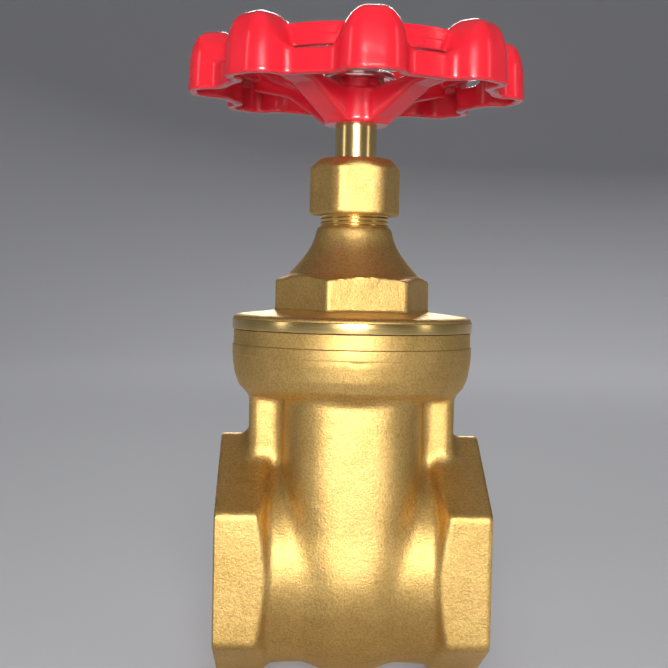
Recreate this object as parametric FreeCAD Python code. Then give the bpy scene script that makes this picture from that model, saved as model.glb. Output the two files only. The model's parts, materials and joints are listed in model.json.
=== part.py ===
import FreeCAD, Part
import math
import os

# A one inch (DN 25) brass gate valve: screwed bonnet, non-rising stem, cast handwheel.
# Millimetres. X runs along the pipe, Z up the stem. The origin is the centre of the
# waterway, half way between the two pipe ends. The valve is drawn open.

V = FreeCAD.Vector
ORIGIN = V(0, 0, 0)
X_AXIS = V(1, 0, 0)
Z_AXIS = V(0, 0, 1)

# ---- driving dimensions -------------------------------------------------------------

# body casting
BODY_LENGTH = 50.0          # face to face along the pipe
END_AF = 42.0               # across the flats of the pipe end hexagons
END_HEX_CORNER = 7.85       # length of a hexagon's corner edge
END_CONE_RUN = 1.5          # how much longer the flat is in its middle
BARREL_R = 20.4             # casting between the hexagons
POCKET_R = 21.3             # rounded bottom of the wedge pocket, about X
POCKET_BOTTOM_HALF_X = 6.6
NECK_TOP_HALF_X = 13.7      # neck under the collar: an oval cut by two leaning planes
NECK_OVAL_HALF_X = 19.5
NECK_HALF_Y = 20.0
NECK_TOP_Z = 33.0
GUSSET_REACH = 19.5         # side ribs from the barrel up to the collar
GUSSET_HALF_Y = 6.0
GUSSET_EDGE_R = 2.5
COLLAR_R = 23.0
COLLAR_BOTTOM_Z = 32.1
COLLAR_TOP_Z = 44.3
COLLAR_STEP_Z = 41.6        # machined lip above the cast part of the collar
COLLAR_STEP = 0.1

# pipe threads, one inch parallel pipe thread, drawn at the minor diameter
PORT_THREAD_R = 15.15
PORT_THREAD_LENGTH = 14.0
PORT_CHAMFER = 1.6

# waterway, seats and wedge
BORE_R = 12.5
WEDGE_R = 13.9
WEDGE_HALF_X = 6.8          # half thickness at the wedge's middle
WEDGE_TAPER = 4.0           # degrees each side
WEDGE_TRAVEL = 26.5
SEAT_GAP = 0.05             # clearance drawn between a shut wedge and its seats
POCKET_WALL_GAP = 0.6       # room around the wedge's rim
GUIDE_HALF_X = 2.0
GUIDE_REACH = 15.5
GUIDE_GAP = 0.3
WEDGE_BOSS_R = 6.6
WEDGE_BOSS_TOP = 22.0
WEDGE_BORE_BOTTOM = -12.3

# bonnet
FLANGE_R = 23.2
FLANGE_EDGE_TOP_Z = 46.4
FLANGE_SHOULDER = (22.4, 47.15)
FLANGE_TOP_Z = 48.2
BONNET_AF = 26.5
BONNET_HEX_TOP_Z = 54.6
BONNET_HEX_TURN = 9.0       # degrees, where the hexagon happened to stop when screwed home
BONNET_HEX_CHAMFER = 0.8
BELL = [(13.0, 54.6), (10.4, 57.6), (8.73, 59.8), (7.8, 61.7), (7.33, 63.4), (7.1, 64.2)]
NECK_R = 6.67
NECK_TOP = 73.6
BONNET_THREAD_R = 19.0
BONNET_THREAD_BOTTOM_Z = 34.6
CAVITY_R = 16.0
CAVITY_FLOOR_Z = 33.4       # where the body's round recess starts, inside the collar
CAVITY_TOP_Z = 43.5
THROAT_R = 8.6              # threaded recess of the stem retaining ring
THROAT_BOTTOM_Z = 49.3
GASKET_INNER_R = 19.3
GASKET_OUTER_R = 22.6
GASKET_HALF_BITE = 0.15     # how far the flat gasket is let into the bonnet's flange

# stem
STEM_R = 4.0
STEM_THREAD_R = 4.5         # trapezoidal thread, 3 mm lead, left handed
STEM_BOTTOM_Z = 14.6
THREAD_GAP = 0.08
RING_TOP_Z = 53.4
STEM_COLLAR_R = 7.0
STEM_COLLAR_TOP_Z = 56.4
COLLAR_END_PLAY = 0.05
RUNNING_GAP = 0.06
SQUARE_AF = 5.6
SQUARE_BOTTOM_Z = 85.2
TIP_R = 2.5                 # M5 tip that holds the wheel
TIP_TOP_Z = 99.6

# gland
CHAMBER_R = 5.35
CHAMBER_BOTTOM_Z = 62.6
WASHER_THICKNESS = 0.8
PACKING_RINGS = 3
PACKING_HEIGHT = 2.5
GLAND_SKIRT = 2.7
GLAND_HEAD = 1.3
GLAND_HEAD_R = 5.9
NUT_AF = 15.8
NUT_CORNER_R = 8.8          # the forging's corners are rounded off
NUT_BOTTOM_Z = 66.5
NUT_TOP_Z = 77.3
NUT_TURN = 5.0
NUT_CHAMFER = [(8.8, 75.6), (7.9, 76.4), (7.0, 77.3)]

# handwheel
KNOBS = 8
KNOB_TURN = 2.3             # degrees, where the wheel happened to stop
KNOB_R = 32.4               # radius over the knobs
DIP_R = 27.5                # radius of the rim half way between two knobs
KNOB_HALF = 6.0
KNOB_TOP_Z = 100.85
KNOB_INNER_R = 23.6
KNOB_CROWN_R = 4.2          # rounding from a knob's face to its top
KNOB_WALL = 1.7
RIM_BOTTOM_Z = 89.25
RIM_TOP_Z = 93.8
RIM_WALL = 1.9
RING_INNER_R = 23.6
RING_OUTER_R = 25.6
RING_Z = (94.5, 98.5)
SPOKES = 4
SPOKE_HALF = 3.0
SPOKE_PROFILE = [(3.6, 84.6), (6.2, 84.6), (15.5, 90.4), (25.0, 92.6), (25.0, 97.2),
                 (20.0, 94.2), (13.0, 91.9), (3.6, 90.8)]
HUB_R = 6.2
HUB_TOP_R = 5.1
HUB_Z = (83.9, 90.2, 92.4)

# wheel fastening
PLATE_R = 7.25
PLATE_THICKNESS = 1.3
SPRING_WASHER_R = 4.3
SPRING_WASHER_THICKNESS = 1.2
WHEEL_NUT_AF = 8.0
WHEEL_NUT_HEIGHT = 4.0


# ---- helpers ------------------------------------------------------------------------

def rod(radius, z0, z1):
    """A cylinder about the stem's axis."""
    return Part.makeCylinder(radius, z1 - z0, V(0, 0, z0), Z_AXIS)


def pipe_rod(radius, x0, x1):
    """A cylinder about the pipe's axis."""
    return Part.makeCylinder(radius, x1 - x0, V(x0, 0, 0), X_AXIS)


def ring(outer, inner, z0, z1):
    return rod(outer, z0, z1).cut(rod(inner, z0 - 1, z1 + 1))


def box(x0, x1, y0, y1, z0, z1):
    return Part.makeBox(x1 - x0, y1 - y0, z1 - z0, V(x0, y0, z0))


def turned(profile):
    """A solid turned about Z from (radius, z) corners."""
    points = [V(r, 0, z) for r, z in profile]
    face = Part.Face(Part.makePolygon(points + points[:1]))
    return face.revolve(ORIGIN, Z_AXIS, 360)


def turned_about_x(profile):
    """A solid turned about X from (x, radius) corners."""
    points = [V(x, 0, r) for x, r in profile]
    face = Part.Face(Part.makePolygon(points + points[:1]))
    return face.revolve(ORIGIN, X_AXIS, 360)


def spun(shape, degrees):
    copy = shape.copy()
    copy.rotate(ORIGIN, Z_AXIS, degrees)
    return copy


def hexagon(across_flats, z0, z1, turn):
    """A hexagonal prism with one flat facing -Y, then turned about Z."""
    corner = across_flats / math.sqrt(3)
    points = [V(corner * math.cos(math.radians(60 * k)), corner * math.sin(math.radians(60 * k)), z0)
              for k in range(7)]
    return spun(Part.Face(Part.makePolygon(points)).extrude(V(0, 0, z1 - z0)), turn)


def join(shapes):
    whole = shapes[0].multiFuse(shapes[1:]) if len(shapes) > 1 else shapes[0]
    return whole.removeSplitter()


def mirrored_x(shape):
    return shape.mirror(ORIGIN, X_AXIS)


# ---- body ---------------------------------------------------------------------------

def pipe_end():
    """The +X hexagon, its inner corners coned off like a nut's."""
    half = BODY_LENGTH / 2
    corner = END_AF / math.sqrt(3)
    points = [V(0, corner * math.sin(math.radians(60 * k)), corner * math.cos(math.radians(60 * k)))
              for k in range(7)]
    prism = Part.Face(Part.makePolygon(points)).extrude(V(half, 0, 0))
    inner = half - END_HEX_CORNER
    cone = turned_about_x([(0, 0), (half, 0), (half, corner + 0.1), (inner, corner + 0.1),
                           (inner - END_CONE_RUN, END_AF / 2), (0, END_AF / 2 - 2)])
    return prism.common(cone)


def gusset():
    """The rib on the +X side between the barrel and the collar, with rounded edges."""
    block = box(0, GUSSET_REACH, -GUSSET_HALF_Y, GUSSET_HALF_Y, BARREL_R - 8, NECK_TOP_Z)
    edges = [e for e in block.Edges
             if abs(e.Vertexes[0].X - GUSSET_REACH) < 1e-6 and abs(e.Vertexes[-1].X - GUSSET_REACH) < 1e-6
             and abs(e.Vertexes[0].Y - e.Vertexes[-1].Y) < 1e-6]
    return block.makeFillet(GUSSET_EDGE_R, edges)


def pocket_outside():
    """The casting around the wedge: a drum below, an oval neck above, narrowing downward."""
    low = POCKET_BOTTOM_HALF_X
    high = NECK_TOP_HALF_X
    points = [V(-low, -POCKET_R - 1, -POCKET_R - 1), V(low, -POCKET_R - 1, -POCKET_R - 1),
              V(high, -POCKET_R - 1, NECK_TOP_Z), V(-high, -POCKET_R - 1, NECK_TOP_Z)]
    prism = Part.Face(Part.makePolygon(points + points[:1])).extrude(V(0, 2 * POCKET_R + 2, 0))
    ellipse = Part.Ellipse(V(0, NECK_HALF_Y, 0), V(NECK_OVAL_HALF_X, 0, 0), ORIGIN)
    neck = Part.Face(Part.Wire([ellipse.toShape()])).extrude(V(0, 0, NECK_TOP_Z))
    drum = pipe_rod(POCKET_R, -NECK_OVAL_HALF_X, NECK_OVAL_HALF_X)
    return prism.common(join([drum, neck]))


def collar():
    return turned([(0, COLLAR_BOTTOM_Z), (20.1, COLLAR_BOTTOM_Z), (21.6, 33.6), (22.5, 35.8),
                   (COLLAR_R, 38.4), (COLLAR_R, COLLAR_STEP_Z),
                   (COLLAR_R - COLLAR_STEP, COLLAR_STEP_Z + COLLAR_STEP),
                   (COLLAR_R - COLLAR_STEP, COLLAR_TOP_Z), (0, COLLAR_TOP_Z)])


def half_thickness(z):
    """Half the wedge's thickness at a height above its own middle."""
    return WEDGE_HALF_X + z * math.tan(math.radians(WEDGE_TAPER))


def tapered_slab(extra, half_y, z0, z1):
    """The space between two planes that lean apart upward, parallel to the wedge's faces."""
    low = half_thickness(z0) + extra
    high = half_thickness(z1) + extra
    points = [V(-low, -half_y, z0), V(low, -half_y, z0), V(high, -half_y, z1), V(-high, -half_y, z1)]
    return Part.Face(Part.makePolygon(points + points[:1])).extrude(V(0, 2 * half_y, 0))


def body_cavity():
    """The wedge's pocket, its guide grooves and the room above it."""
    rim = WEDGE_R + POCKET_WALL_GAP
    slab = tapered_slab(SEAT_GAP, rim, -rim - 1, NECK_TOP_Z + 2)
    outline = join([pipe_rod(rim, -15, 15), box(-15, 15, -rim, rim, 0, NECK_TOP_Z + 2)])
    groove = box(-GUIDE_HALF_X - GUIDE_GAP, GUIDE_HALF_X + GUIDE_GAP,
                 -GUIDE_REACH - GUIDE_GAP, GUIDE_REACH + GUIDE_GAP, -6.0, NECK_TOP_Z + 2)
    top = join([rod(CAVITY_R, CAVITY_FLOOR_Z, BONNET_THREAD_BOTTOM_Z + 1),
                rod(BONNET_THREAD_R, BONNET_THREAD_BOTTOM_Z - 0.2, COLLAR_TOP_Z + 1)])
    return [slab.common(outline), groove, top]


def port(inner_x):
    """The threaded pipe socket on the +X side."""
    half = BODY_LENGTH / 2
    return turned_about_x([(inner_x, 0), (inner_x, PORT_THREAD_R), (half - PORT_CHAMFER, PORT_THREAD_R),
                           (half + 0.1, PORT_THREAD_R + PORT_CHAMFER + 0.1), (half + 0.1, 0)])


def body():
    end = pipe_end()
    rib = gusset()
    barrel = pipe_rod(BARREL_R, -BODY_LENGTH / 2 + 5, BODY_LENGTH / 2 - 5)
    outside = join([end, mirrored_x(end), barrel, pocket_outside(), rib, mirrored_x(rib), collar()])
    socket = port(BODY_LENGTH / 2 - PORT_THREAD_LENGTH)
    inside = body_cavity() + [socket, mirrored_x(socket), pipe_rod(BORE_R, -15, 15)]
    return outside.cut(inside).removeSplitter()


# ---- bonnet and its gasket ----------------------------------------------------------

def bonnet():
    """Flange, hexagon, bell and threaded neck in one casting, with a male thread below."""
    gasket_seat = COLLAR_TOP_Z + GASKET_HALF_BITE
    lower = turned([(0, BONNET_THREAD_BOTTOM_Z), (BONNET_THREAD_R, BONNET_THREAD_BOTTOM_Z),
                    (BONNET_THREAD_R, gasket_seat), (FLANGE_R - 0.3, gasket_seat),
                    (FLANGE_R, gasket_seat + 0.3), (FLANGE_R, FLANGE_EDGE_TOP_Z), FLANGE_SHOULDER,
                    (14.0, FLANGE_TOP_Z), (0, FLANGE_TOP_Z)])
    root = FLANGE_TOP_Z - 1
    chamfer = turned([(0, root), (16, root), (16, BONNET_HEX_TOP_Z - BONNET_HEX_CHAMFER),
                      (BELL[0][0], BONNET_HEX_TOP_Z), (0, BONNET_HEX_TOP_Z)])
    hexagon_part = hexagon(BONNET_AF, root, BONNET_HEX_TOP_Z, BONNET_HEX_TURN).common(chamfer)
    flank = Part.BSplineCurve()
    flank.interpolate([V(r, 0, z) for r, z in BELL])
    foot, head = V(BELL[0][0], 0, BELL[0][1]), V(BELL[-1][0], 0, BELL[-1][1])
    core = Part.makePolygon([head, V(0, 0, head.z), V(0, 0, foot.z), foot])
    bell = Part.Face(Part.Wire([flank.toShape()] + core.Edges)).revolve(ORIGIN, Z_AXIS, 360)
    neck = rod(NECK_R, head.z - 1, NECK_TOP)
    cavity = turned([(0, BONNET_THREAD_BOTTOM_Z - 1), (CAVITY_R, BONNET_THREAD_BOTTOM_Z - 1),
                     (CAVITY_R, CAVITY_TOP_Z), (THROAT_R, THROAT_BOTTOM_Z), (THROAT_R, RING_TOP_Z),
                     (STEM_COLLAR_R + 0.4, RING_TOP_Z),
                     (STEM_COLLAR_R + 0.4, STEM_COLLAR_TOP_Z + COLLAR_END_PLAY),
                     (STEM_R + RUNNING_GAP, STEM_COLLAR_TOP_Z + COLLAR_END_PLAY),
                     (STEM_R + RUNNING_GAP, CHAMBER_BOTTOM_Z), (CHAMBER_R, CHAMBER_BOTTOM_Z),
                     (CHAMBER_R, NECK_TOP + 1), (0, NECK_TOP + 1)])
    return join([lower, hexagon_part, bell, neck]).cut(cavity)


def bonnet_gasket():
    return ring(GASKET_OUTER_R, GASKET_INNER_R, COLLAR_TOP_Z, COLLAR_TOP_Z + GASKET_HALF_BITE)


# ---- stem, wedge and what holds the stem --------------------------------------------

def square_prism(z0, z1):
    half = SQUARE_AF / 2
    return spun(box(-half, half, -half, half, z0, z1), KNOB_TURN)


def stem():
    """One bar: driving thread, thrust collar, polished shank, square and threaded tip."""
    thread = turned([(0, STEM_BOTTOM_Z), (STEM_THREAD_R - 0.8, STEM_BOTTOM_Z),
                     (STEM_THREAD_R, STEM_BOTTOM_Z + 0.8), (STEM_THREAD_R, RING_TOP_Z + 1),
                     (0, RING_TOP_Z + 1)])
    thrust = rod(STEM_COLLAR_R, RING_TOP_Z + COLLAR_END_PLAY, STEM_COLLAR_TOP_Z)
    shank = rod(STEM_R, STEM_COLLAR_TOP_Z - 1, SQUARE_BOTTOM_Z)
    square = square_prism(SQUARE_BOTTOM_Z - 0.5, HUB_Z[2])
    tip = turned([(0, HUB_Z[2] - 1), (TIP_R, HUB_Z[2] - 1), (TIP_R, TIP_TOP_Z - 0.6),
                  (TIP_R - 0.6, TIP_TOP_Z), (0, TIP_TOP_Z)])
    return join([thread, thrust, shank, square, tip])


def stem_retaining_ring():
    """The threaded ring under the stem's collar, with two slots for its key."""
    blank = ring(THROAT_R, STEM_THREAD_R + THREAD_GAP, THROAT_BOTTOM_Z + 0.1, RING_TOP_Z)
    slot = box(-THROAT_R - 1, THROAT_R + 1, -1.0, 1.0, THROAT_BOTTOM_Z, THROAT_BOTTOM_Z + 1.3)
    return blank.cut(slot)


def wedge():
    """The solid wedge, drawn at the top of its travel."""
    disc = tapered_slab(0, WEDGE_R + 1, -WEDGE_R - 1, WEDGE_R + 1).common(pipe_rod(WEDGE_R, -12, 12))
    guides = box(-GUIDE_HALF_X, GUIDE_HALF_X, -GUIDE_REACH, GUIDE_REACH, -5.0, 6.0)
    boss = rod(WEDGE_BOSS_R, 6.0, WEDGE_BOSS_TOP)
    hole = rod(STEM_THREAD_R + THREAD_GAP, WEDGE_BORE_BOTTOM, WEDGE_BOSS_TOP + 1)
    shape = join([disc, guides, boss]).cut(hole)
    shape.translate(V(0, 0, WEDGE_TRAVEL))
    return shape


# ---- gland --------------------------------------------------------------------------

def packing_washer():
    return ring(CHAMBER_R, STEM_R + RUNNING_GAP, CHAMBER_BOTTOM_Z, CHAMBER_BOTTOM_Z + WASHER_THICKNESS)


def packing_ring(index):
    z0 = CHAMBER_BOTTOM_Z + WASHER_THICKNESS + index * PACKING_HEIGHT
    return ring(CHAMBER_R, STEM_R + RUNNING_GAP, z0, z0 + PACKING_HEIGHT)


def gland_bottom():
    return CHAMBER_BOTTOM_Z + WASHER_THICKNESS + PACKING_RINGS * PACKING_HEIGHT


def packing_gland():
    z0 = gland_bottom()
    z1 = z0 + GLAND_SKIRT + 0.3
    skirt = ring(CHAMBER_R - 0.1, STEM_R + RUNNING_GAP, z0, z1 + 0.2)
    head = ring(GLAND_HEAD_R, STEM_R + RUNNING_GAP, z1, z1 + GLAND_HEAD)
    return join([skirt, head])


def packing_nut():
    """The hexagon nut on the bonnet's neck, turned round at its top corners."""
    shoulder = gland_bottom() + GLAND_SKIRT + GLAND_HEAD + 0.3
    outline = turned([(0, NUT_BOTTOM_Z), (NUT_CORNER_R - 0.5, NUT_BOTTOM_Z),
                      (NUT_CORNER_R, NUT_BOTTOM_Z + 0.4)] + NUT_CHAMFER + [(0, NUT_TOP_Z)])
    blank = hexagon(NUT_AF, NUT_BOTTOM_Z, NUT_TOP_Z, NUT_TURN).common(outline)
    inside = join([rod(NECK_R, NUT_BOTTOM_Z - 1, shoulder),
                   rod(STEM_R + RUNNING_GAP, shoulder - 1, NUT_TOP_Z + 1)])
    return blank.cut(inside)


# ---- handwheel ----------------------------------------------------------------------

def polar(radius, degrees, z=0.0):
    return V(radius * math.cos(math.radians(degrees)), radius * math.sin(math.radians(degrees)), z)


def rim_outline(inset):
    """The rim's plan: an arc over each knob and a hollow arc between two knobs."""
    pitch = 360.0 / KNOBS
    knob_angle = math.degrees(math.asin(KNOB_HALF / KNOB_R)) - inset * 0.8
    edges = []
    for k in range(KNOBS):
        middle = k * pitch
        tip = [polar(KNOB_R - inset, middle + a * knob_angle) for a in (-1, 0, 1)]
        after = polar(KNOB_R - inset, middle + pitch - knob_angle)
        edges.append(Part.Arc(*tip).toShape())
        edges.append(Part.Arc(tip[2], polar(DIP_R - inset, middle + pitch / 2), after).toShape())
    return Part.Face(Part.Wire(edges))


def rim_band():
    height = V(0, 0, RIM_TOP_Z - RIM_BOTTOM_Z)
    band = rim_outline(0).extrude(height).cut(rim_outline(RIM_WALL).extrude(height))
    band.translate(V(0, 0, RIM_BOTTOM_Z))
    return band


def knob_block(half, inner, outer, top, crown, bottom):
    """A finger knob on +X: an elliptical arch along the radius, rounded over at its face."""
    arch = Part.Ellipse(V(0, 0, top), V(0, half, RIM_TOP_Z), V(0, 0, RIM_TOP_Z))
    curve = arch.toShape(-math.pi / 2, math.pi / 2)
    first = curve.Vertexes[0].Point
    last = curve.Vertexes[-1].Point
    below = Part.makePolygon([last, V(0, last.y, bottom), V(0, first.y, bottom), first])
    section = Part.Face(Part.Wire([curve] + below.Edges))
    section.translate(V(inner, 0, 0))
    bar = section.extrude(V(outer - inner + 1, 0, 0))
    face_line = Part.makeLine(V(outer, 0, bottom), V(outer, 0, top - crown))
    bend = Part.Arc(V(outer, 0, top - crown), V(outer - 0.293 * crown, 0, top - 0.293 * crown),
                    V(outer - crown, 0, top)).toShape()
    rest = Part.makePolygon([V(outer - crown, 0, top), V(0, 0, top), V(0, 0, bottom), V(outer, 0, bottom)])
    envelope = Part.Face(Part.Wire([face_line, bend] + rest.Edges)).revolve(ORIGIN, Z_AXIS, 360)
    return bar.common(envelope)


def hollow_knob():
    shell = knob_block(KNOB_HALF, KNOB_INNER_R, KNOB_R, KNOB_TOP_Z, KNOB_CROWN_R, RIM_BOTTOM_Z)
    hollow = knob_block(KNOB_HALF - KNOB_WALL, KNOB_INNER_R + KNOB_WALL, KNOB_R - KNOB_WALL,
                        KNOB_TOP_Z - KNOB_WALL, KNOB_CROWN_R - 1, RIM_BOTTOM_Z - 1)
    return shell, hollow


def spoke():
    points = [V(r, -SPOKE_HALF, z) for r, z in SPOKE_PROFILE]
    return Part.Face(Part.makePolygon(points + points[:1])).extrude(V(0, 2 * SPOKE_HALF, 0))


def handwheel():
    """Hub, four spokes and a rim of two rails joined by eight hollow knobs."""
    pitch = 360.0 / KNOBS
    shell, hollow = hollow_knob()
    shells = [spun(shell.cut(hollow), k * pitch) for k in range(KNOBS)]
    spokes = [spun(spoke(), (k + 0.5) * 360.0 / SPOKES) for k in range(SPOKES)]
    hub = turned([(0, HUB_Z[0]), (HUB_R - 0.5, HUB_Z[0]), (HUB_R, HUB_Z[0] + 0.5), (HUB_R - 0.2, HUB_Z[1]),
                  (HUB_TOP_R, HUB_Z[1] + 0.6), (HUB_TOP_R, HUB_Z[2]), (0, HUB_Z[2])])
    rail = ring(RING_OUTER_R, RING_INNER_R, RING_Z[0], RING_Z[1])
    rim = join([rim_band()] + shells).cut(rod(RING_OUTER_R, HUB_Z[0], RING_Z[0]))
    wheel = join([rim, rail, hub] + spokes)
    half = SQUARE_AF / 2
    socket = box(-half, half, -half, half, SQUARE_BOTTOM_Z, HUB_Z[2] + 1)
    neck = rod(STEM_R, HUB_Z[0] - 1, SQUARE_BOTTOM_Z)
    wheel = wheel.cut([socket, neck])
    return spun(wheel.removeSplitter(), -90 + KNOB_TURN)


def wheel_plate():
    return ring(PLATE_R, TIP_R, HUB_Z[2], HUB_Z[2] + PLATE_THICKNESS)


def wheel_spring_washer():
    z0 = HUB_Z[2] + PLATE_THICKNESS
    coil = ring(SPRING_WASHER_R, TIP_R, z0, z0 + SPRING_WASHER_THICKNESS)
    return coil.cut(box(0, SPRING_WASHER_R + 1, -0.35, 0.35, z0 - 1, z0 + SPRING_WASHER_THICKNESS + 1))


def wheel_nut():
    z0 = HUB_Z[2] + PLATE_THICKNESS + SPRING_WASHER_THICKNESS
    z1 = z0 + WHEEL_NUT_HEIGHT
    corner = WHEEL_NUT_AF / math.sqrt(3)
    outline = turned([(0, z0), (corner - 0.4, z0), (corner, z0 + 0.3), (corner, z1 - 0.3),
                      (corner - 0.4, z1), (0, z1)])
    return hexagon(WHEEL_NUT_AF, z0, z1, 20).common(outline).cut(rod(TIP_R, z0 - 1, z1 + 1))


# ---- write the nodes ----------------------------------------------------------------

def main():
    nodes = {
        "body": body(),
        "bonnet": bonnet(),
        "bonnet_gasket": bonnet_gasket(),
        "stem": stem(),
        "stem_retaining_ring": stem_retaining_ring(),
        "wedge": wedge(),
        "packing_washer": packing_washer(),
        "packing_gland": packing_gland(),
        "packing_nut": packing_nut(),
        "handwheel": handwheel(),
        "wheel_plate": wheel_plate(),
        "wheel_spring_washer": wheel_spring_washer(),
        "wheel_nut": wheel_nut(),
    }
    for index in range(PACKING_RINGS):
        nodes["packing_ring_%d" % (index + 1)] = packing_ring(index)
    os.makedirs("parts", exist_ok=True)
    for name, shape in nodes.items():
        shape.exportStep("parts/%s.step" % name)
        box_of = shape.BoundBox
        print(name, len(shape.Solids), shape.isValid(), round(shape.Volume, 1),
              [round(v, 2) for v in (box_of.XMin, box_of.XMax, box_of.YMin, box_of.YMax,
                                     box_of.ZMin, box_of.ZMax)])


main()
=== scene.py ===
import json
import math

import bpy
import numpy as np
from mathutils import Matrix, Vector


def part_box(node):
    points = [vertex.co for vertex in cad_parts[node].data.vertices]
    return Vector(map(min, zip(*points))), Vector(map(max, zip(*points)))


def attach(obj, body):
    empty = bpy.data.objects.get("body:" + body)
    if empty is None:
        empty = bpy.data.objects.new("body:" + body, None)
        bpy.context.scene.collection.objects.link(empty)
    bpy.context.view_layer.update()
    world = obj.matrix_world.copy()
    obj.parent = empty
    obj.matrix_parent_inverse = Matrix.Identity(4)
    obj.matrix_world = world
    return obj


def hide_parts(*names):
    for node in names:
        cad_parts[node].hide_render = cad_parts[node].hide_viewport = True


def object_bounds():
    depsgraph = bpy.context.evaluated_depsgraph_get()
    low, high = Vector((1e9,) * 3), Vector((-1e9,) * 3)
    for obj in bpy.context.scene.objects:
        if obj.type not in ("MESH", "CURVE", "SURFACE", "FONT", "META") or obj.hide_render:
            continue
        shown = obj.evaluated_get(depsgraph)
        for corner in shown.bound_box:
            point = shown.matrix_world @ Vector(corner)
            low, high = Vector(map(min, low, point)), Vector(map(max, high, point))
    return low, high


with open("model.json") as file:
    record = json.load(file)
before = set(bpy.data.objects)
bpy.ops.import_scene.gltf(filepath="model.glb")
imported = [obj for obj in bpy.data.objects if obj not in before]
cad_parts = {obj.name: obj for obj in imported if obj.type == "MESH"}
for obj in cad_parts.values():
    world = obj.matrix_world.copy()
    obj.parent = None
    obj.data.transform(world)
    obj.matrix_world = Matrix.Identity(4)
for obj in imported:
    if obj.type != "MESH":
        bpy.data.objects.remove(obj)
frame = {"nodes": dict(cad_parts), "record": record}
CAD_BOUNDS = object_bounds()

# The looks of a one inch brass gate valve. Blender works in metres; the shape functions
# below work in millimetres and are scaled once, when a mesh is made.

MM = 0.001

# ---- sizes taken from the frame, in millimetres --------------------------------------


def corners(node):
    """A CAD node's lowest and highest corners."""
    low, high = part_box(node)
    return np.array(low) / MM, np.array(high) / MM


BODY_LOW, BODY_HIGH = corners("body")
BONNET_LOW, BONNET_HIGH = corners("bonnet")
NUT_LOW, NUT_HIGH = corners("packing_nut")
WHEEL_LOW, WHEEL_HIGH = corners("handwheel")
PLATE_LOW, PLATE_HIGH = corners("wheel_plate")
GASKET_TOP = corners("bonnet_gasket")[1][2]

HALF_LENGTH = BODY_HIGH[0]
END_CORNER = -BODY_LOW[2]
COLLAR_TOP = BODY_HIGH[2]
FLANGE_R = BONNET_HIGH[0]
BONNET_NECK_TOP = BONNET_HIGH[2]
BONNET_BOTTOM = BONNET_LOW[2]
NUT_BOTTOM = NUT_LOW[2]
NUT_TOP = NUT_HIGH[2]
KNOB_TOP = WHEEL_HIGH[2]
HUB_BOTTOM = WHEEL_LOW[2]

# ---- shapes that the frame doesn't state, in millimetres -----------------------------

END_FLAT = 21.0             # half the width across a pipe hexagon's flats
END_CORNER_EDGE = 7.85      # length of its outer corner edge
END_CONE_SLOPE = 0.46       # the cone that takes off its inner corners
BARREL_R = 20.2
BARREL_HALF = 19.0
POCKET_HALF_X = (9.2, 4.0)  # at the pipe's middle, and what is added above it
POCKET_HALF_Y = (20.9, 1.1)     # the same, taken off toward the collar
POCKET_DEPTH = 22.0
POCKET_POWER = 3.4          # how square the oval is
NECK_TOP = 34.0
GUSSET_MIDDLE = (8.0, 24.0)     # in x and z
GUSSET_HALF = (11.55, 7.4, 13.0)
GUSSET_EDGE_R = 2.0
COLLAR_PROFILE = [(0, 32.1), (20.1, 32.1), (21.65, 33.7), (22.5, 35.8), (22.95, 38.6), (23.0, 41.4),
                  (0, 41.6)]
CASTING_TOP = 41.2          # above it the collar is a turned ring
BAND_R = 23.12
BAND = (39.2, 39.8, 41.5, 41.65)    # heights of the ring's foot, full width, edge and step
LIP_R = 22.9
PORT_MINOR_R = 15.2
PORT_THREAD_DEPTH = 1.35
PORT_PITCH = 2.309
PORT_LENGTH = 14.0
PORT_MOUTH = 1.6            # width of the chamfer at a socket's mouth
BORE_R = 12.5
BORE_HALF = 15.0
THREAD_BORE_R = 19.0        # for the bonnet's thread, above THREAD_BORE_BOTTOM
THREAD_BORE_BOTTOM = 34.4
CAVITY_R = 16.0
CAVITY_BOTTOM = 33.4
WEDGE_SLOT_HALF = 6.85      # room for the wedge at the pipe's middle
WEDGE_TAPER = 4.0           # degrees
WEDGE_SLOT_R = 14.5
GUIDE_HALF_X = 2.3
GUIDE_REACH = 15.8
GUIDE_BOTTOM = -6.0
WEDGE_ROOM_TOP = 36.0

FLANGE_EDGE_TOP = 46.4
FLANGE_SHOULDER = [(22.95, 46.75), (22.6, 47.05), (21.8, 47.3)]
FLANGE_TOP = 48.2
SHOULDER_INNER_R = 13.0
SUNK = 0.12                 # how far the casting's flange lies under the turned shoulder
BONNET_FLAT = 13.25
BONNET_TURN = 9.0
BONNET_HEX_TOP = 54.6
CROWN_SLOPE = 0.34          # the cone that takes off the hexagon's top corners
BELL = [(13.1, 54.5), (10.4, 57.5), (8.73, 59.8), (7.8, 61.7), (7.33, 63.4), (7.1, 64.0), (6.75, 64.4)]
BELL_TOP = BELL[-1][1]
NECK_R = 6.67
NECK_THREAD_PITCH = 0.75
PLUG_R = 18.95              # the bonnet's thread in the body
PLUG_PITCH = 1.5
THROAT = [(8.6, 53.4), (7.4, 56.4)]     # radius and top: the retaining ring's recess, the thrust collar's
STEM_HOLE_R = 4.2
CHAMBER_R = 5.4             # the packing's chamber, above CHAMBER_BOTTOM
CHAMBER_BOTTOM = 62.6

NUT_FLAT = 7.95
NUT_CORNER_R = 8.8
NUT_TURN = 5.0
NUT_TOP_CHAMFER = [(8.8, 75.5), (7.9, 76.4)]
NUT_TOP_R = 7.0
NUT_BORE = (6.75, 75.2)     # radius and top
NUT_HOLE_R = 4.15

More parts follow.
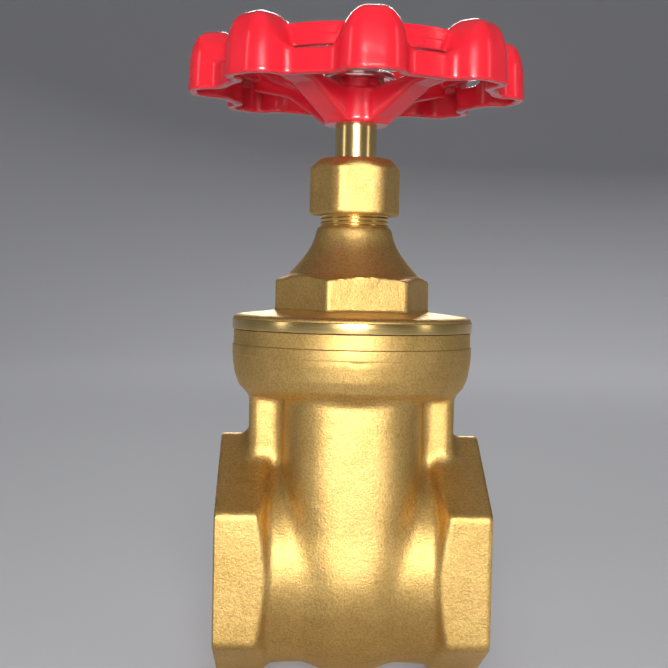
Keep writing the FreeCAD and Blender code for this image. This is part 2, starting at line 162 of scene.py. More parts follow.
KNOBS = 8
SPOKES = 4
KNOB_TURN = 2.3
KNOB_R = WHEEL_HIGH[0] - 0.05
DIP_R = 27.5
KNOB_HALF = 6.0
KNOB_INNER_R = 23.6
RIM_BOTTOM = 89.25
RIM_TOP = 93.8
RIM_WALL = 1.9
RAIL = (23.6, 25.6, 94.5, 98.5)
RAIL_STEP_Z = 96.25
KNOB_END_R = 4.6            # rounding of a knob's outer end in plan
KNOB_WALL = 1.7
# how far a knob's outline draws in, against height, and how steep its face is there
KNOB_EDGE = [(0.0, 89.2), (0.25, 94.6), (0.6, 96.8), (1.2, 98.5), (2.0, 99.65), (3.4, 100.44),
             (5.4, KNOB_TOP)]
KNOB_STEEPNESS = [(RIM_TOP, 1.0), (98.0, 0.95), (99.6, 0.6), (100.4, 0.35), (KNOB_TOP, 0.1)]
HUB_PROFILE = [(0, HUB_BOTTOM), (5.9, HUB_BOTTOM), (6.25, HUB_BOTTOM + 0.5), (5.95, 90.2),
               (5.1, 90.7), (5.1, 92.4), (0, 92.4)]
HUB_SOCKET = (3.9, 85.2)    # radius and top of the stem's round hole
SPOKE_HALF = 3.0
SPOKE_END_R = 25.2
SPOKE_UNDER = [(6.2, 84.3), (15.5, 90.2), (25.0, 92.4)]
SPOKE_OVER = [(6.0, 90.4), (13.0, 91.7), (20.0, 94.2), (25.0, 97.2)]

# ---- distance fields -----------------------------------------------------------------


def soft_min(a, b, blend):
    """The union of two shapes with a fillet of about the blend's size."""
    h = np.clip(0.5 + 0.5 * (b - a) / blend, 0, 1)
    return b * (1 - h) + a * h - blend * h * (1 - h)


def soft_max(a, b, blend):
    """The part that two shapes share, with its edges rounded."""
    return -soft_min(-a, -b, blend)


def carve(solid, tool, blend=0.25):
    return soft_max(solid, -tool, blend)


def polygon(u, v, points):
    """Signed distance in a plane to a closed outline."""
    distance = np.full(u.shape, 1e9)
    sign = np.ones(u.shape)
    for (ax, ay), (bx, by) in zip(points, points[1:] + points[:1]):
        ex, ey = bx - ax, by - ay
        wx, wy = u - ax, v - ay
        t = np.clip((wx * ex + wy * ey) / (ex * ex + ey * ey), 0, 1)
        distance = np.minimum(distance, (wx - t * ex) ** 2 + (wy - t * ey) ** 2)
        above, below = v >= ay, v < by
        side = ex * wy > ey * wx
        flip = (above & below & side) | (~above & ~below & ~side)
        sign = np.where(flip, -sign, sign)
    return sign * np.sqrt(distance)


def hexagon(u, v, flat, blend):
    """Distance to a hexagon whose flats face along u."""
    s = math.sqrt(3) / 2
    d = np.abs(u)
    for w in (u / 2 + v * s, u / 2 - v * s):
        d = soft_max(d, np.abs(w), blend)
    return d - flat


def rounded_box(x, y, z, half, radius):
    """Distance to a box with every edge rounded."""
    q = [np.abs(c) - h + radius for c, h in zip((x, y, z), half)]
    outside = np.sqrt(sum(np.maximum(c, 0) ** 2 for c in q))
    return outside + np.minimum(np.maximum(q[0], np.maximum(q[1], q[2])), 0) - radius


def slab(z, low, high):
    """Distance to the layer between two heights."""
    return np.abs(z - (low + high) / 2) - (high - low) / 2


def turned_xy(x, y, degrees):
    c, s = math.cos(math.radians(degrees)), math.sin(math.radians(degrees))
    return c * x + s * y, c * y - s * x


# ---- meshes from distance fields -----------------------------------------------------


def surface_nets(values):
    """Vertices and quads of a field's zero surface, in grid steps."""
    inside = values < 0
    shape = np.array(values.shape)
    cells = tuple(shape - 1)
    total = np.zeros(cells + (3,), np.float32)
    count = np.zeros(cells, np.int8)
    for axis in range(3):
        others = [a for a in range(3) if a != axis]
        for i in (0, 1):
            for j in (0, 1):
                first = [slice(0, n) for n in cells]
                first[others[0]] = slice(i, cells[others[0]] + i)
                first[others[1]] = slice(j, cells[others[1]] + j)
                second = list(first)
                second[axis] = slice(1, cells[axis] + 1)
                a, b = values[tuple(first)], values[tuple(second)]
                cross = (a < 0) != (b < 0)
                where = np.nonzero(cross)
                t = a[where] / (a[where] - b[where])
                total[where + (np.full(len(t), axis),)] += t
                total[where + (np.full(len(t), others[0]),)] += i
                total[where + (np.full(len(t), others[1]),)] += j
                count[where] += 1
    where = np.nonzero(count)
    number = np.full(cells, -1)
    number[where] = np.arange(len(where[0]))
    points = np.stack(where, 1) + total[where] / count[where][:, None]
    quads = []
    for axis in range(3):
        u, v = [(axis + 1) % 3, (axis + 2) % 3]
        low = [slice(1, n - 1) for n in shape]
        low[axis] = slice(0, shape[axis] - 1)
        high = list(low)
        high[axis] = slice(1, shape[axis])
        a, b = inside[tuple(low)], inside[tuple(high)]
        where = np.stack(np.nonzero(a != b), 1)
        outward = a[tuple(where.T)]
        where += 1
        where[:, axis] -= 1
        ring = []
        for du, dv in ((1, 1), (0, 1), (0, 0), (1, 0)):
            cell = where.copy()
            cell[:, u] -= du
            cell[:, v] -= dv
            ring.append(number[tuple(cell.T)])
        ring = np.stack(ring, 1)
        ring[~outward] = ring[~outward][:, ::-1]
        quads.append(ring)
    return points, np.concatenate(quads)


def settle(points, field, step):
    """Moves net vertices onto the field's zero surface."""
    eps = step * 0.15
    for _ in range(2):
        d = field(*points.T)
        slope = np.stack([(field(*(points + offset).T) - field(*(points - offset).T)) / (2 * eps)
                          for offset in np.eye(3) * eps], 1)
        size = np.maximum((slope ** 2).sum(1), 0.2)
        move = -(d / size)[:, None] * slope
        length = np.linalg.norm(move, axis=1, keepdims=True)
        points = points + move * np.minimum(1, 0.45 * step / np.maximum(length, 1e-9))
    return points


def cast(name, field, low, high, step):
    """A mesh of the field inside a box, all in millimetres."""
    margin = 2 * step
    axes = [np.arange(a - margin, b + margin + step, step) for a, b in zip(low, high)]
    grid = np.meshgrid(*axes, indexing="ij")
    points, quads = surface_nets(field(*grid).astype(np.float32))
    points = points * step + np.array([a[0] for a in axes])
    points = settle(points, field, step)
    points = np.clip(points, low, high)
    return new_object(name, points, quads.tolist(), 40)


def new_object(name, points, faces, sharp_degrees):
    """A smooth-shaded object from millimetre points; edges bent further than the angle stay sharp."""
    mesh = bpy.data.meshes.new(name)
    mesh.from_pydata((np.asarray(points) * MM).tolist(), [], faces)
    mesh.validate()
    mesh.shade_smooth()
    mesh.set_sharp_from_angle(angle=math.radians(sharp_degrees))
    thing = bpy.data.objects.new(name, mesh)
    bpy.context.scene.collection.objects.link(thing)
    return thing


def lathe(name, profile, segments=160, sharp_degrees=30):
    """A closed turned piece about Z from (radius, z) corners, which run round the section."""
    angles = np.arange(segments) * 2 * math.pi / segments
    points = [(r * math.cos(a), r * math.sin(a), z) for r, z in profile for a in angles]
    faces = []
    rows = len(profile)
    for i in range(rows):
        for k in range(segments):
            a, b = i * segments + k, i * segments + (k + 1) % segments
            c, d = ((i + 1) % rows) * segments + (k + 1) % segments, ((i + 1) % rows) * segments + k
            faces.append((a, b, c, d))
    return new_object(name, points, faces, sharp_degrees)


def smooth_line(points, steps=6):
    """A Catmull-Rom curve through an outline's points."""
    ends = [points[0]] + list(points) + [points[-1]]
    line = []
    for a, b, c, d in zip(ends, ends[1:], ends[2:], ends[3:]):
        a, b, c, d = (np.array(p, float) for p in (a, b, c, d))
        for t in np.arange(steps) / steps:
            line.append(tuple(0.5 * (2 * b + (c - a) * t + (2 * a - 5 * b + 4 * c - d) * t ** 2
                                     + (3 * b - a - 3 * c + d) * t ** 3)))
    return line + [tuple(points[-1])]


def bevelled(profile, size, steps=3):
    """A section's outline with each corner rounded."""
    outline = []
    for before, here, after in zip(profile[-1:] + profile[:-1], profile, profile[1:] + profile[:1]):
        here, ends = np.array(here, float), []
        for other in (before, after):
            edge = np.array(other, float) - here
            length = np.linalg.norm(edge)
            ends.append(here + edge / length * min(size, length * 0.45))
        for t in np.linspace(0, 1, steps + 1):
            outline.append(tuple((1 - t) ** 2 * ends[0] + 2 * t * (1 - t) * here + t * t * ends[1]))
    return outline


def threaded_bar(name, radius, depth, pitch, low, high, hand=1, core=0.0, segments=72):
    """A tube or bar about Z with a rounded thread cut into its outside."""
    rows = max(8, int((high - low) / pitch * 10))
    heights = np.linspace(low, high, rows + 1)
    angles = np.arange(segments) * 2 * math.pi / segments
    points, faces = [], []
    for z in heights:
        fade = min(1.0, (z - low) / (0.6 * pitch), (high - z) / (0.6 * pitch))
        wave = 0.5 + 0.5 * np.cos(2 * math.pi * (z / pitch) - hand * angles)
        r = radius - depth * (1 - fade * wave)
        points += list(zip(r * np.cos(angles), r * np.sin(angles), np.full(segments, z)))
    for i in range(rows):
        for k in range(segments):
            a, b = i * segments + k, i * segments + (k + 1) % segments
            faces.append((a, b, b + segments, a + segments))
    inner = max(core, 0.01)
    for z in (high, low):
        points += [(inner * math.cos(a), inner * math.sin(a), z) for a in angles]
    first, top, bottom = rows * segments, (rows + 1) * segments, (rows + 2) * segments
    for k in range(segments):
        n = (k + 1) % segments
        faces.append((first + k, first + n, top + n, top + k))
        faces.append((top + k, top + n, bottom + n, bottom + k))
        faces.append((bottom + k, bottom + n, n, k))
    return new_object(name, points, faces, 45)


# ---- materials -----------------------------------------------------------------------


class Nodes:
    """Short calls for building one material's node tree, in object coordinates."""

    def __init__(self, name):
        self.material = bpy.data.materials.new(name)
        self.material.use_nodes = True
        self.tree = self.material.node_tree
        self.shader = self.tree.nodes["Principled BSDF"]
        self.place = self.tree.nodes.new("ShaderNodeTexCoord").outputs["Object"]

    def link(self, out, socket):
        self.tree.links.new(out, socket)

    def noise(self, scale, detail=2.0, roughness=0.5, stretch=None):
        node = self.tree.nodes.new("ShaderNodeTexNoise")
        node.inputs["Scale"].default_value = scale
        node.inputs["Detail"].default_value = detail
        node.inputs["Roughness"].default_value = roughness
        place = self.place
        if stretch:
            mapping = self.tree.nodes.new("ShaderNodeMapping")
            mapping.inputs["Scale"].default_value = stretch
            self.link(self.place, mapping.inputs["Vector"])
            place = mapping.outputs["Vector"]
        self.link(place, node.inputs["Vector"])
        return node.outputs["Fac"]

    def grains(self, scale):
        node = self.tree.nodes.new("ShaderNodeTexVoronoi")
        node.inputs["Scale"].default_value = scale
        self.link(self.place, node.inputs["Vector"])
        return node.outputs["Distance"]

    def ramp(self, value, stops):
        node = self.tree.nodes.new("ShaderNodeValToRGB")
        elements = node.color_ramp.elements
        while len(elements) < len(stops):
            elements.new(0.5)
        for element, (position, colour) in zip(elements, stops):
            element.position = position
            element.color = colour + (1,)
        self.link(value, node.inputs["Fac"])
        return node.outputs["Color"]

    def span(self, value, low, high):
        node = self.tree.nodes.new("ShaderNodeMapRange")
        node.inputs["To Min"].default_value = low
        node.inputs["To Max"].default_value = high
        self.link(value, node.inputs["Value"])
        return node.outputs["Result"]

    def mix(self, factor, a, b, blend="MIX"):
        node = self.tree.nodes.new("ShaderNodeMix")
        node.data_type = "RGBA"
        node.blend_type = blend
        for name, value in (("Factor", factor), ("A", a), ("B", b)):
            self.feed(node.inputs[name], value)
        return node.outputs["Result"]

    def feed(self, socket, value):
        if isinstance(value, bpy.types.NodeSocket):
            self.link(value, socket)
        elif isinstance(value, tuple):
            socket.default_value = value + (1,)
        else:
            socket.default_value = value

    def bump(self, layers):
        """Height layers, each (value, depth in metres), the coarsest first."""
        normal = None
        for value, depth in layers:
            node = self.tree.nodes.new("ShaderNodeBump")
            node.inputs["Strength"].default_value = 1.0
            node.inputs["Distance"].default_value = depth
            self.link(value, node.inputs["Height"])
            if normal:
                self.link(normal, node.inputs["Normal"])
            normal = node.outputs["Normal"]
        self.link(normal, self.shader.inputs["Normal"])

    def set(self, **values):
        for key, value in values.items():
            self.feed(self.shader.inputs[key.replace("_", " ")], value)


def cast_brass():
    """Shot-blasted brass: fine even grain, a little darker in its hollows."""
    n = Nodes("cast_brass")
    cloud = n.ramp(n.noise(160, 3), [(0.3, (0.69, 0.445, 0.145)), (0.7, (0.79, 0.525, 0.185))])
    speck = n.ramp(n.noise(2600, 2), [(0.35, (0.78, 0.77, 0.72)), (0.6, (1.0, 1.0, 1.0))])
    n.set(Base_Color=n.mix(1.0, cloud, speck, "MULTIPLY"), Metallic=1.0,
          Roughness=n.span(n.noise(900, 3), 0.42, 0.56))
    n.bump([(n.noise(420, 3), 0.00007), (n.noise(2600, 3, 0.65), 0.00006), (n.grains(3800), 0.00002)])
    return n.material


def turned_brass():
    """Polished, turned brass with fine rings round its axis."""
    n = Nodes("turned_brass")
    lines = n.noise(900, 2, 0.6, (0.02, 0.02, 6.0))
    colour = n.ramp(n.noise(220, 2), [(0.3, (0.76, 0.53, 0.19)), (0.7, (0.84, 0.61, 0.25))])
    n.set(Base_Color=colour, Metallic=1.0, Roughness=n.span(lines, 0.14, 0.30))
    n.bump([(lines, 0.000012)])
    return n.material


def red_enamel():
    """Thick glossy stove enamel with a faint ripple."""
    n = Nodes("red_enamel")
    colour = n.ramp(n.noise(90, 2), [(0.3, (0.62, 0.010, 0.022)), (0.7, (0.70, 0.014, 0.028))])
    n.set(Base_Color=colour, Metallic=0.0, Roughness=n.span(n.noise(260, 2), 0.20, 0.30), Coat_Weight=0.35,
          Coat_Roughness=0.08)
    n.bump([(n.noise(130, 2), 0.00022), (n.noise(900, 2), 0.000015)])
    return n.material


def bright_steel():
    """Zinc-bright steel with fine turning marks."""
    n = Nodes("bright_steel")
    lines = n.noise(700, 2, 0.6, (0.02, 0.02, 5.0))
    colour = n.ramp(n.noise(300, 2), [(0.3, (0.66, 0.66, 0.65)), (0.7, (0.80, 0.80, 0.79))])
    n.set(Base_Color=colour, Metallic=1.0, Roughness=n.span(lines, 0.12, 0.26))
    n.bump([(lines, 0.000010)])
    return n.material


def packing():
    """Braided, greased packing cord."""
    n = Nodes("packing")
    weave = n.noise(1500, 2, 0.5, (1.0, 1.0, 2.5))
    n.set(Base_Color=n.ramp(weave, [(0.3, (0.30, 0.29, 0.26)), (0.7, (0.62, 0.60, 0.54))]), Roughness=0.85)
    n.bump([(weave, 0.0002)])
    return n.material


def gasket():
    """Compressed fibre sheet."""
    n = Nodes("gasket")
    fibre = n.noise(1200, 3)
    colour = n.ramp(fibre, [(0.3, (0.015, 0.014, 0.013)), (0.7, (0.04, 0.037, 0.034))])
    n.set(Base_Color=colour, Roughness=0.8)
    n.bump([(fibre, 0.00004)])
    return n.material


MAKERS = (cast_brass, turned_brass, red_enamel, bright_steel, packing, gasket)
MATERIALS = {make.__name__: make() for make in MAKERS}


def dress(piece, slot, body, *nodes):
    """Gives a piece its material and body, and hides the CAD nodes it stands for."""
    piece.data.materials.clear()
    piece.data.materials.append(MATERIALS[slot])
    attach(piece, body)
    if nodes:
        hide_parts(*nodes)
    return piece


# ---- body casting --------------------------------------------------------------------


def pocket(x, y, z):
    """The oval casting round the wedge, with a flat-fronted neck that narrows downward."""
    rise = np.clip(z / 15.0, 0, 1)
    half_x = POCKET_HALF_X[0] + POCKET_HALF_X[1] * rise * (2 - rise)
    half_y = POCKET_HALF_Y[0] - POCKET_HALF_Y[1] * np.clip(z / 33.0, 0, 1)
    below = np.minimum(z, 0) / POCKET_DEPTH
    depth = np.sqrt((y / half_y) ** 2 + below ** 2)
    q = (np.abs(x / half_x) ** POCKET_POWER + depth ** POCKET_POWER) ** (1 / POCKET_POWER)
    size = np.sqrt((x / half_x ** 2) ** 2 + (y / half_y ** 2) ** 2 + (below / POCKET_DEPTH) ** 2) + 1e-6
    near = np.sqrt((x / half_x) ** 2 + depth ** 2) + 1e-6
    return np.maximum((q - 1) * near / size, z - NECK_TOP)


def pipe_ends(x, y, z):
    """Both hexagons: straight outer edges, inner corners coned off."""
    r = np.hypot(y, z)
    side = np.abs(x)
    d = hexagon(y, z, END_FLAT, 0.9)
    inner = HALF_LENGTH - END_CORNER_EDGE - END_CONE_SLOPE * (END_CORNER - r)
    d = soft_max(d, (inner - side) / math.hypot(1, END_CONE_SLOPE), 0.7)
    return soft_max(d, side - HALF_LENGTH, 0.5)


def port_tool(x, y, z):
    """Both threaded sockets with a chamfered mouth."""
    r = np.hypot(y, z)
    side = np.abs(x)
    angle = np.arctan2(z, y * np.sign(x))
    wave = 0.5 + 0.5 * np.cos(2 * math.pi * side / PORT_PITCH - angle)
    run_out = np.clip((side - HALF_LENGTH + PORT_LENGTH) / 2.0, 0, 1)
    wall = PORT_MINOR_R + PORT_THREAD_DEPTH * wave * run_out
    mouth = PORT_MINOR_R + PORT_MOUTH - (HALF_LENGTH - side)
    d = 0.75 * (r - np.maximum(wall, np.minimum(mouth, PORT_MINOR_R + PORT_MOUTH + 0.1)))
    return np.maximum(d, HALF_LENGTH - PORT_LENGTH - side)


def wedge_room(x, y, z):
    """The pocket that the wedge slides in, with its guide grooves."""
    lean = WEDGE_SLOT_HALF + z * math.tan(math.radians(WEDGE_TAPER))
    slot = np.maximum(np.abs(x) - lean, np.where(z < 0, np.hypot(y, z), np.abs(y)) - WEDGE_SLOT_R)
    groove = np.maximum(np.maximum(np.abs(x) - GUIDE_HALF_X, np.abs(y) - GUIDE_REACH), GUIDE_BOTTOM - z)
    return np.maximum(np.minimum(slot, groove), z - WEDGE_ROOM_TOP)


def body_field(x, y, z):
    """The body's casting, up to where its collar is turned."""
    r = np.hypot(x, y)
    tube = np.hypot(y, z)
    barrel = np.maximum(tube - BARREL_R - 0.25 * np.cos(x / 3.0), np.abs(x) - BARREL_HALF)
    d = soft_min(barrel, pipe_ends(x, y, z), 0.9)
    d = soft_min(d, pocket(x, y, z), 2.2)
    side, height = GUSSET_MIDDLE
    gusset = rounded_box(np.abs(x) - side, y, z - height, GUSSET_HALF, GUSSET_EDGE_R)
    collar = polygon(r, z, COLLAR_PROFILE)
    d = soft_min(d, gusset, 2.2)
    d = soft_min(d, collar - 0.1, 0.9)
    d = soft_max(d, z - CASTING_TOP, 0.2)
    d = carve(d, port_tool(x, y, z))
    d = carve(d, np.maximum(tube - BORE_R, np.abs(x) - BORE_HALF), 0.4)
    d = carve(d, wedge_room(x, y, z), 0.3)
    upper = np.where(z > THREAD_BORE_BOTTOM, r - THREAD_BORE_R, r - CAVITY_R)
    return np.maximum(d, -np.maximum(upper, CAVITY_BOTTOM - z))


def make_body():
    """The casting, and the turned ring that tops its collar."""
    piece = cast("body_casting", body_field, BODY_LOW, (BODY_HIGH[0], BODY_HIGH[1], CASTING_TOP), 0.56)
    dress(piece, "cast_brass", "valve", "body")
    foot, low, high, step = BAND
    lip = [(THREAD_BORE_R, foot), (BAND_R - 0.14, foot), (BAND_R, low), (BAND_R, high), (LIP_R, step),
           (LIP_R, COLLAR_TOP), (THREAD_BORE_R, COLLAR_TOP)]
    dress(lathe("collar_lip", bevelled(lip, 0.08), sharp_degrees=50), "cast_brass", "valve")


# ---- bonnet --------------------------------------------------------------------------


def bonnet_field(x, y, z):
    """Flange, hexagon and bell, with the stem's passage."""
    r = np.hypot(x, y)
    u, v = turned_xy(x, y, BONNET_TURN)
    hexagon_part = soft_max(hexagon(v, u, BONNET_FLAT, 0.5), slab(z, 44.0, BONNET_HEX_TOP), 0.3)
    crown = (z - BONNET_HEX_TOP - 0.05 + (r - 13.0) * CROWN_SLOPE) / math.hypot(1, CROWN_SLOPE)
    hexagon_part = soft_max(hexagon_part, crown, 0.25)
    bell = polygon(r, z, [(0, 52.0), (12.4, 52.0)] + smooth_line(BELL) + [(0, BELL_TOP)])
    flange = polygon(r, z, [(0, 45.0), (FLANGE_R - 0.15, 45.0), (FLANGE_R - 0.15, FLANGE_EDGE_TOP)]
                     + FLANGE_SHOULDER + [(SHOULDER_INNER_R + 1, FLANGE_TOP), (0, FLANGE_TOP)]) + SUNK
    d = soft_min(hexagon_part, bell, 0.8)
    d = soft_min(d, flange, 0.7)
    d = np.maximum(d, FLANGE_EDGE_TOP - z)
    throat = np.minimum(*(np.maximum(r - radius, z - top) for radius, top in THROAT))
    shaft = np.minimum(r - STEM_HOLE_R, np.maximum(r - CHAMBER_R, CHAMBER_BOTTOM - z))
    return np.maximum(d, -np.minimum(throat, shaft))


def make_bonnet():
    """The casting, its turned flange, the plug in the body and the threaded neck."""
    low = (-FLANGE_R, -FLANGE_R, FLANGE_EDGE_TOP)
    piece = cast("bonnet_casting", bonnet_field, low, (FLANGE_R, FLANGE_R, BELL_TOP), 0.4)
    dress(piece, "cast_brass", "valve", "bonnet")
    edge = [(CAVITY_R, GASKET_TOP), (FLANGE_R, GASKET_TOP), (FLANGE_R, FLANGE_EDGE_TOP),
            (CAVITY_R, FLANGE_EDGE_TOP)]
    dress(lathe("bonnet_flange_edge", bevelled(edge, 0.2, 4)), "turned_brass", "valve")
    rounding = smooth_line([(FLANGE_R - 0.15, FLANGE_EDGE_TOP)] + FLANGE_SHOULDER + [(20.4, 47.46)], 4)
    foot = FLANGE_EDGE_TOP - 0.2
    shoulder = [(SHOULDER_INNER_R, foot), (FLANGE_R - 0.15, foot)] + rounding
    shoulder += [(SHOULDER_INNER_R + 1, FLANGE_TOP), (SHOULDER_INNER_R, FLANGE_TOP)]
    dress(lathe("bonnet_flange_shoulder", shoulder), "cast_brass", "valve")
    plug = threaded_bar("bonnet_thread", PLUG_R, 0.5, PLUG_PITCH, BONNET_BOTTOM, GASKET_TOP, 1, CAVITY_R)
    dress(plug, "turned_brass", "valve")
    neck = threaded_bar("bonnet_neck", NECK_R, 0.25, NECK_THREAD_PITCH, 64.0, BONNET_NECK_TOP, 1, CHAMBER_R)
    dress(neck, "turned_brass", "valve")


# ---- packing nut ---------------------------------------------------------------------


def nut_field(x, y, z):
    """The packing nut: a hexagon with its corners and top turned off."""
    r = np.hypot(x, y)
    u, v = turned_xy(x, y, NUT_TURN)
    foot = [(0, NUT_BOTTOM), (NUT_CORNER_R - 0.5, NUT_BOTTOM), (NUT_CORNER_R, NUT_BOTTOM + 0.5)]
    outline = polygon(r, z, foot + NUT_TOP_CHAMFER + [(NUT_TOP_R, NUT_TOP), (0, NUT_TOP)])
    d = soft_max(hexagon(v, u, NUT_FLAT, 0.35), outline, 0.6)
    hole = np.minimum(r - NUT_HOLE_R, np.maximum(r - NUT_BORE[0], z - NUT_BORE[1]))
    return np.maximum(d, -hole)


def make_nut():
    piece = cast("packing_nut_forged", nut_field, NUT_LOW, NUT_HIGH, 0.25)
    dress(piece, "cast_brass", "valve", "packing_nut")


# ---- handwheel -----------------------------------------------------------------------


def folded(x, y, count, offset):
    """Folds the plane so that each of count equal sectors lies along +u."""
    pitch = 2 * math.pi / count
    angle = np.arctan2(y, x) - math.radians(offset)
    local = angle - pitch * np.round(angle / pitch)
    r = np.hypot(x, y)
    return r * np.cos(local), np.abs(r * np.sin(local)), r


def lobe(u, w):
    """Plan of one knob: a bar along the radius with a rounded outer end."""
    qu, qw = u - KNOB_R + KNOB_END_R, w - KNOB_HALF + KNOB_END_R
    return np.hypot(np.maximum(qu, 0), np.maximum(qw, 0)) + np.minimum(np.maximum(qu, qw), 0) - KNOB_END_R


def knob(u, w, z, inset):
    """One finger knob: an arch along the radius that rounds over toward its outer end."""
    half = KNOB_HALF - inset
    rise = KNOB_TOP + 0.2 - RIM_TOP - inset
    height = np.maximum(z - RIM_TOP, 0) / rise
    slope = np.hypot(2 * w / half ** 2, 1.6 / rise * height ** 0.6)
    arch = ((w / half) ** 2 + height ** 1.6 - 1) / np.maximum(slope, 0.12)
    depth, top = zip(*smooth_line(KNOB_EDGE))
    ease = np.interp(z + inset, top, depth)
    steep = np.interp(z + inset, *zip(*KNOB_STEEPNESS))
    shell = (lobe(u, w) + inset + ease) * steep
    inner_r = KNOB_INNER_R + inset + 0.5 * np.maximum(z - 98.6, 0) ** 1.5
    inner_r = inner_r + 2.2 * np.clip((RAIL[2] + 0.4 - z) / 0.8, 0, 1)
    return soft_max(soft_max(arch, shell, 0.5), inner_r - u, 1.0)


def spoke(u, w, z):
    """One rising spoke along +u."""
    under = np.interp(u, *zip(*SPOKE_UNDER))
    over = np.interp(u, *zip(*SPOKE_OVER))
    d = soft_max(w - SPOKE_HALF, np.maximum(under - z, z - over) * 0.8, 0.7)
    return np.maximum(d, u - SPOKE_END_R)


def wheel_field(x, y, z):
    """Hollow knobs on a band, an upper rail, four spokes and the hub."""
    u, w, r = folded(x, y, KNOBS, -90 + KNOB_TURN)
    su, sw, _ = folded(x, y, SPOKES, -45 + KNOB_TURN)
    plan = soft_min(r - DIP_R, np.maximum(lobe(u, w), 20.0 - u), 3.8)
    band = soft_max(r - DIP_R, slab(z, RIM_BOTTOM - 0.1, RIM_TOP), 0.7)
    rail = rounded_box(r - (RAIL[0] + RAIL[1]) / 2, 0 * r, z - (RAIL[2] + RAIL[3]) / 2,
                       ((RAIL[1] - RAIL[0]) / 2 - 0.15, 1.0, (RAIL[3] - RAIL[2]) / 2 - 0.15), 0.5)
    hub = polygon(r, z, HUB_PROFILE) - 0.05
    d = soft_min(knob(u, w, z, 0.0), band, 2.4)
    d = carve(d, soft_max(plan + RIM_WALL, z - RAIL[2], 0.3), 0.3)
    d = soft_min(d, np.maximum(rail, (RAIL[2] - z)), 0.9)
    d = carve(d, np.maximum(knob(u, w, z, KNOB_WALL), KNOB_INNER_R + 1.6 - u), 0.5)
    d = soft_min(d, soft_min(spoke(su, sw, z), hub, 1.0), 0.7)
    d = soft_max(d, RIM_BOTTOM - z - np.where(r < 20, 50, 0), 0.4)
    return np.maximum(d, -np.maximum(r - HUB_SOCKET[0], z - HUB_SOCKET[1]))


def make_wheel():
    """The casting, and the turned face of its upper rail with a faint step."""
    piece = cast("handwheel_casting", wheel_field, WHEEL_LOW, WHEEL_HIGH, 0.42)
    dress(piece, "red_enamel", "stem_and_wheel", "handwheel")
    inner, outer, low, high = RAIL
    face = [(inner, low), (outer, low), (outer, RAIL_STEP_Z), (outer - 0.16, RAIL_STEP_Z + 0.12),
            (outer - 0.16, high), (inner, high)]
    dress(lathe("handwheel_rail", bevelled(face, 0.3)), "red_enamel", "stem_and_wheel")


def make_wheel_fastening():
    plate = [(2.5, PLATE_LOW[2]), (PLATE_HIGH[0], PLATE_LOW[2]), (PLATE_HIGH[0], PLATE_HIGH[2]),
             (2.5, PLATE_HIGH[2])]
    disc = lathe("wheel_plate_disc", bevelled(plate, 0.4, 5))
    dress(disc, "bright_steel", "stem_and_wheel", "wheel_plate")


# ---- nodes that keep their CAD solid -------------------------------------------------


def dress_cad_nodes():
    """Gives every CAD node that still shows its slot's material."""
    slots = {part["node"]: part["material_slot"] for part in frame["record"]["subparts"]}
    for name, node in frame["nodes"].items():
        if not node.hide_render:
            node.data.materials.clear()
            node.data.materials.append(MATERIALS[slots[name]])


# ---- floor, light and camera ---------------------------------------------------------


def plain_material(name, colour, roughness):
    n = Nodes(name)
    n.set(Base_Color=colour, Roughness=roughness)
    return n.material


def make_floor():
    """A round pale floor that sweeps up into a wall on every side."""
    radius, bend, height, segments = 1.9, 0.9, 2.4, 96
    rows = [(0.02, 0), (0.3, 0), (radius - bend, 0)]
    rows += [(radius - bend + bend * math.sin(a), bend - bend * math.cos(a))
             for a in np.linspace(0.1, 1.5708, 16)]
    rows += [(radius, height)]
    ground = CAD_BOUNDS[0][2] - 0.0002
    angles = np.arange(segments) * 2 * math.pi / segments
    points = [(r * math.cos(a), r * math.sin(a), ground + z) for r, z in rows for a in angles]
    faces = [tuple(range(segments))]
    for i in range((len(rows) - 1) * segments):
        n = i + 1 if (i + 1) % segments else i + 1 - segments
        faces.append((i, n, n + segments, i + segments))
    floor = new_object("floor", np.array(points) / MM, faces, 60)
    floor.data.materials.append(plain_material("floor", (0.52, 0.52, 0.54), 0.9))


def make_world(brightness):
    world = bpy.data.worlds.new("studio")
    bpy.context.scene.world = world
    world.use_nodes = True
    background = world.node_tree.nodes["Background"]
    background.inputs["Color"].default_value = (0.92, 0.93, 0.96, 1)
    background.inputs["Strength"].default_value = brightness


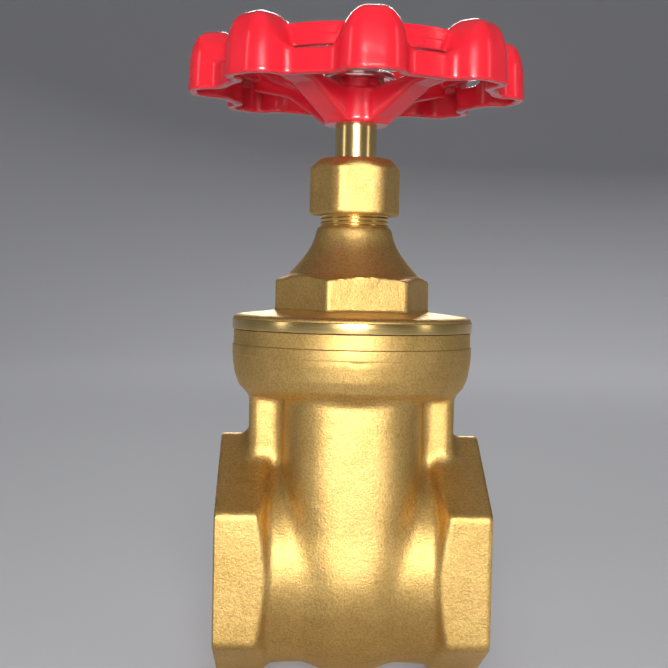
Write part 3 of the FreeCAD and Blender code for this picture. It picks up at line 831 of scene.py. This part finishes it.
def area_light(name, place, target, size, power, mirrored, spread=180, lights_floor=True):
    """A soft box. mirrored: it shows in glossy surfaces. lights_floor: it lights matt ones."""
    data = bpy.data.lights.new(name, "AREA")
    data.shape = "RECTANGLE"
    data.size, data.size_y = size
    data.energy = power
    data.spread = math.radians(spread)
    light = bpy.data.objects.new(name, data)
    bpy.context.scene.collection.objects.link(light)
    light.location = place
    light.rotation_mode = "QUATERNION"
    light.rotation_quaternion = (Vector(target) - Vector(place)).to_track_quat("-Z", "Y")
    light.visible_glossy = mirrored
    light.visible_camera = False
    light.visible_diffuse = lights_floor


def make_lights():
    middle = Vector((0, 0, 0.045))
    area_light("front_key", (-0.01, -0.42, 0.11), middle, (0.12, 0.07), 1.55, True)
    area_light("front_fill", (-0.10, -0.90, 0.70), middle, (0.60, 0.40), 3.2, False)
    area_light("low_fill", (-0.05, -0.55, 0.03), Vector((0, 0, 0.09)), (0.24, 0.05), 0.018, False, 22)
    area_light("left_fill", (-0.90, -0.30, 0.30), middle, (0.15, 0.60), 0.6, True)
    area_light("right_fill", (0.90, -0.35, 0.30), middle, (0.15, 0.60), 0.5, True)
    area_light("back_key", (0.02, 0.42, 0.24), middle, (0.14, 0.08), 1.0, True, lights_floor=False)
    area_light("back_fill", (0.30, 1.10, 0.90), middle, (0.60, 0.40), 7.0, False)


def make_camera():
    """The camera stands in front of the stem's middle and looks a little down and right."""
    focal = 1187.0
    yaw, pitch, roll = (math.radians(a) for a in (2.17, 2.33, 1.18))
    forward = Vector((math.sin(yaw) * math.cos(pitch), math.cos(yaw) * math.cos(pitch), -math.sin(pitch)))
    right = Vector((math.cos(yaw), -math.sin(yaw), 0))
    up = right.cross(forward)
    right, up = (math.cos(roll) * right + math.sin(roll) * up, math.cos(roll) * up - math.sin(roll) * right)
    data = bpy.data.cameras.new("camera")
    data.sensor_width = 36
    data.lens = focal * data.sensor_width / 668
    data.clip_start = 0.01
    camera = bpy.data.objects.new("camera", data)
    bpy.context.scene.collection.objects.link(camera)
    camera.matrix_world = Matrix.Translation((-0.01222, -0.2306, 0.05295)) @ Matrix(
        (right, up, -forward)).transposed().to_4x4()
    bpy.context.scene.camera = camera


make_body()
make_bonnet()
make_nut()
make_wheel()
make_wheel_fastening()
dress_cad_nodes()
make_floor()
make_world(0.25)
make_lights()
make_camera()
bpy.context.scene.view_settings.view_transform = "Standard"
